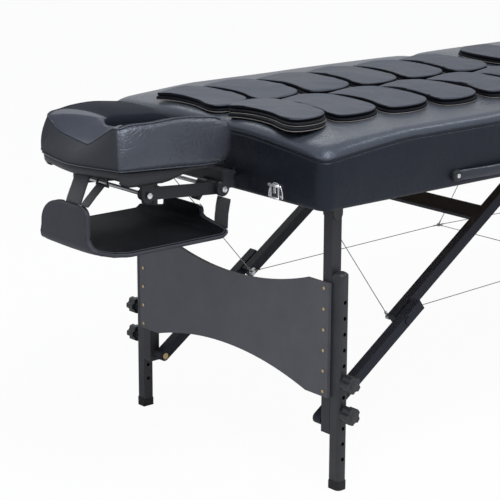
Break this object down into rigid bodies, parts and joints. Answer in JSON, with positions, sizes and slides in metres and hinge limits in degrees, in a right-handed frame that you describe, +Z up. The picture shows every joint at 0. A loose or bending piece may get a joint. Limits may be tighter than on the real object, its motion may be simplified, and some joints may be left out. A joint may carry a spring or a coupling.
{
  "type": "folding massage table",
  "caption": "Folding massage table with leaf-padded leather top, telescoping legs, curved end panels, cable-stayed braces, face cradle and hanging arm sling.",
  "frame": {"origin": "on the floor, under the middle of the bounding box", "axes": "+X along the table from the face cradle to the foot end, +Y across the table away from the handles, +Z up"},
  "size_m": [2.1954, 0.7388, 0.7613],
  "materials": {
    "wood": "clear varnish",
    "side_leather": "satin PU leather",
    "top_leather": "satin PU leather",
    "pad_leather": "satin PU leather, stitched",
    "bare_steel": "zinc plated",
    "handle_leather": "padded and stitched",
    "chrome": "polished",
    "cable_steel": "stranded steel cable",
    "frame_paint": "satin black powder coat",
    "panel_paint": "matte charcoal powder coat",
    "brass": "plain heads",
    "black_plastic": "moulded",
    "sling_leather": "satin PU leather",
    "strap_webbing": "woven webbing",
    "platform_plastic": "moulded, fine texture",
    "cradle_leather": "glossy wrinkled PU leather"
  },
  "bodies": {
    "head_top": {"head_frame_rails": "wood", "head_board": "wood", "head_side_band": "side_leather", "head_top_cushion": "top_leather", "head_leaf_pads": "pad_leather", "head_brackets": "bare_steel", "head_handle": "handle_leather", "latch_bases": "chrome", "head_fold_hinges": "bare_steel", "head_stay_cables": "cable_steel", "centre_cables": "cable_steel"},
    "foot_top": {"foot_frame_rails": "wood", "foot_board": "wood", "foot_side_band": "side_leather", "foot_top_cushion": "top_leather", "foot_leaf_pads": "pad_leather", "foot_brackets": "bare_steel", "foot_handle": "handle_leather", "latch_keepers": "chrome", "foot_fold_hinges": "bare_steel", "foot_stay_cables": "cable_steel"},
    "head_legs": {"head_upper_legs": "frame_paint", "head_end_panel": "panel_paint", "head_leg_screws": "brass"},
    "head_upper_brace": {"head_upper_arms": "frame_paint", "head_crossbar": "frame_paint", "head_knee_fittings": "bare_steel"},
    "head_lower_brace": {"head_lower_arms": "frame_paint"},
    "head_lower_leg_near": {"head_lower_leg_near": "frame_paint"},
    "head_knob_near_upper": {"head_knob_near_upper": "black_plastic"},
    "head_knob_near_lower": {"head_knob_near_lower": "black_plastic"},
    "head_lower_leg_far": {"head_lower_leg_far": "frame_paint"},
    "head_knob_far_upper": {"head_knob_far_upper": "black_plastic"},
    "head_knob_far_lower": {"head_knob_far_lower": "black_plastic"},
    "foot_legs": {"foot_upper_legs": "frame_paint", "foot_end_panel": "panel_paint", "foot_leg_screws": "brass"},
    "foot_upper_brace": {"foot_upper_arms": "frame_paint", "foot_crossbar": "frame_paint", "foot_knee_fittings": "bare_steel"},
    "foot_lower_brace": {"foot_lower_arms": "frame_paint"},
    "foot_lower_leg_near": {"foot_lower_leg_near": "frame_paint"},
    "foot_knob_near_upper": {"foot_knob_near_upper": "black_plastic"},
    "foot_knob_near_lower": {"foot_knob_near_lower": "black_plastic"},
    "foot_lower_leg_far": {"foot_lower_leg_far": "frame_paint"},
    "foot_knob_far_upper": {"foot_knob_far_upper": "black_plastic"},
    "foot_knob_far_lower": {"foot_knob_far_lower": "black_plastic"},
    "latch_lever_near": {"latch_lever_near": "chrome"},
    "latch_lever_far": {"latch_lever_far": "chrome"},
    "cradle_base": {"cradle_base": "frame_paint"},
    "cradle_arms": {"cradle_link_arms": "frame_paint", "cradle_pins": "bare_steel", "arm_sling": "sling_leather", "sling_straps": "strap_webbing", "front_straps": "strap_webbing"},
    "cam_lever": {"cradle_cam_lever": "black_plastic"},
    "cradle_platform": {"cradle_platform": "platform_plastic", "sling_buckle": "black_plastic"},
    "cradle_cushion": {"cradle_cushion": "cradle_leather"}
  },
  "joints": [
    {"name": "centre_fold", "type": "hinge", "parent": "head_top", "child": "foot_top", "pos_m": [0.17835, 0, 0.5885], "axis": [0, 1, 0], "range_deg": [0, 100], "deforming": ["centre_cables"]},
    {"name": "head_leg_fold", "type": "hinge", "parent": "head_top", "child": "head_legs", "pos_m": [-0.66165, 0, 0.57182], "axis": [0, -1, 0], "range_deg": [0, 90], "deforming": ["head_stay_cables", "centre_cables"]},
    {"name": "head_upper_brace_fold", "type": "hinge", "parent": "head_top", "child": "head_upper_brace", "pos_m": [-0.02165, 0, 0.57682], "axis": [0, 1, 0], "range_deg": [0, 36.56]},
    {"name": "head_lower_brace_fold", "type": "hinge", "parent": "head_legs", "child": "head_lower_brace", "pos_m": [-0.65665, 0, 0.133], "axis": [0, -1, 0], "range_deg": [0, 55.06]},
    {"name": "head_leg_height_near", "type": "slide", "parent": "head_legs", "child": "head_lower_leg_near", "axis": [0, 0, -1], "range_m": [-0.099, 0.165]},
    {"name": "head_knob_near_upper_turn", "type": "hinge", "parent": "head_lower_leg_near", "child": "head_knob_near_upper", "pos_m": [-0.66165, -0.3397, 0.231], "axis": [0, -1, 0], "continuous": true},
    {"name": "head_knob_near_lower_turn", "type": "hinge", "parent": "head_lower_leg_near", "child": "head_knob_near_lower", "pos_m": [-0.66165, -0.3397, 0.165], "axis": [0, -1, 0], "continuous": true},
    {"name": "head_leg_height_far", "type": "slide", "parent": "head_legs", "child": "head_lower_leg_far", "axis": [0, 0, -1], "range_m": [-0.099, 0.165]},
    {"name": "head_knob_far_upper_turn", "type": "hinge", "parent": "head_lower_leg_far", "child": "head_knob_far_upper", "pos_m": [-0.66165, 0.3397, 0.231], "axis": [0, 1, 0], "continuous": true},
    {"name": "head_knob_far_lower_turn", "type": "hinge", "parent": "head_lower_leg_far", "child": "head_knob_far_lower", "pos_m": [-0.66165, 0.3397, 0.165], "axis": [0, 1, 0], "continuous": true},
    {"name": "foot_leg_fold", "type": "hinge", "parent": "foot_top", "child": "foot_legs", "pos_m": [1.01835, 0, 0.57182], "axis": [0, 1, 0], "range_deg": [0, 90], "deforming": ["foot_stay_cables", "centre_cables"]},
    {"name": "foot_upper_brace_fold", "type": "hinge", "parent": "foot_top", "child": "foot_upper_brace", "pos_m": [0.37835, 0, 0.57682], "axis": [0, -1, 0], "range_deg": [0, 36.56]},
    {"name": "foot_lower_brace_fold", "type": "hinge", "parent": "foot_legs", "child": "foot_lower_brace", "pos_m": [1.01335, 0, 0.133], "axis": [0, 1, 0], "range_deg": [0, 55.06]},
    {"name": "foot_leg_height_near", "type": "slide", "parent": "foot_legs", "child": "foot_lower_leg_near", "axis": [0, 0, -1], "range_m": [-0.099, 0.165]},
    {"name": "foot_knob_near_upper_turn", "type": "hinge", "parent": "foot_lower_leg_near", "child": "foot_knob_near_upper", "pos_m": [1.01835, -0.3397, 0.231], "axis": [0, -1, 0], "continuous": true},
    {"name": "foot_knob_near_lower_turn", "type": "hinge", "parent": "foot_lower_leg_near", "child": "foot_knob_near_lower", "pos_m": [1.01835, -0.3397, 0.165], "axis": [0, -1, 0], "continuous": true},
    {"name": "foot_leg_height_far", "type": "slide", "parent": "foot_legs", "child": "foot_lower_leg_far", "axis": [0, 0, -1], "range_m": [-0.099, 0.165]},
    {"name": "foot_knob_far_upper_turn", "type": "hinge", "parent": "foot_lower_leg_far", "child": "foot_knob_far_upper", "pos_m": [1.01835, 0.3397, 0.231], "axis": [0, 1, 0], "continuous": true},
    {"name": "foot_knob_far_lower_turn", "type": "hinge", "parent": "foot_lower_leg_far", "child": "foot_knob_far_lower", "pos_m": [1.01835, 0.3397, 0.165], "axis": [0, 1, 0], "continuous": true},
    {"name": "latch_turn_near", "type": "hinge", "parent": "head_top", "child": "latch_lever_near", "pos_m": [-0.74335, -0.218, 0.62316], "axis": [0, 1, 0], "range_deg": [0, 150]},
    {"name": "latch_turn_far", "type": "hinge", "parent": "head_top", "child": "latch_lever_far", "pos_m": [-0.74335, 0.218, 0.62316], "axis": [0, 1, 0], "range_deg": [0, 150]},
    {"name": "cradle_slide", "type": "slide", "parent": "head_top", "child": "cradle_base", "axis": [-1, 0, 0], "range_m": [0, 0.12]},
    {"name": "cradle_arm_tilt", "type": "hinge", "parent": "cradle_base", "child": "cradle_arms", "pos_m": [-0.78965, 0, 0.60486], "axis": [0, 1, 0], "range_deg": [-30, 12]},
    {"name": "cam_lever_turn", "type": "hinge", "parent": "cradle_base", "child": "cam_lever", "pos_m": [-0.78965, 0, 0.60486], "axis": [0, -1, 0], "range_deg": [0, 60]},
    {"name": "platform_tilt", "type": "hinge", "parent": "cradle_arms", "child": "cradle_platform", "pos_m": [-0.97565, 0, 0.61886], "axis": [0, 1, 0], "range_deg": [-25, 7], "deforming": ["front_straps"]},
    {"name": "cushion_lift", "type": "slide", "parent": "cradle_platform", "child": "cradle_cushion", "axis": [0.061, 0, 0.9981], "range_m": [0, 0.08]}
  ],
  "couplings": [
    {"joint": "head_upper_brace_fold", "follows": "head_leg_fold", "ratio": 0.40612},
    {"joint": "head_lower_brace_fold", "follows": "head_leg_fold", "ratio": 0.61166},
    {"joint": "foot_upper_brace_fold", "follows": "foot_leg_fold", "ratio": 0.40612},
    {"joint": "foot_lower_brace_fold", "follows": "foot_leg_fold", "ratio": 0.61166}
  ]
}
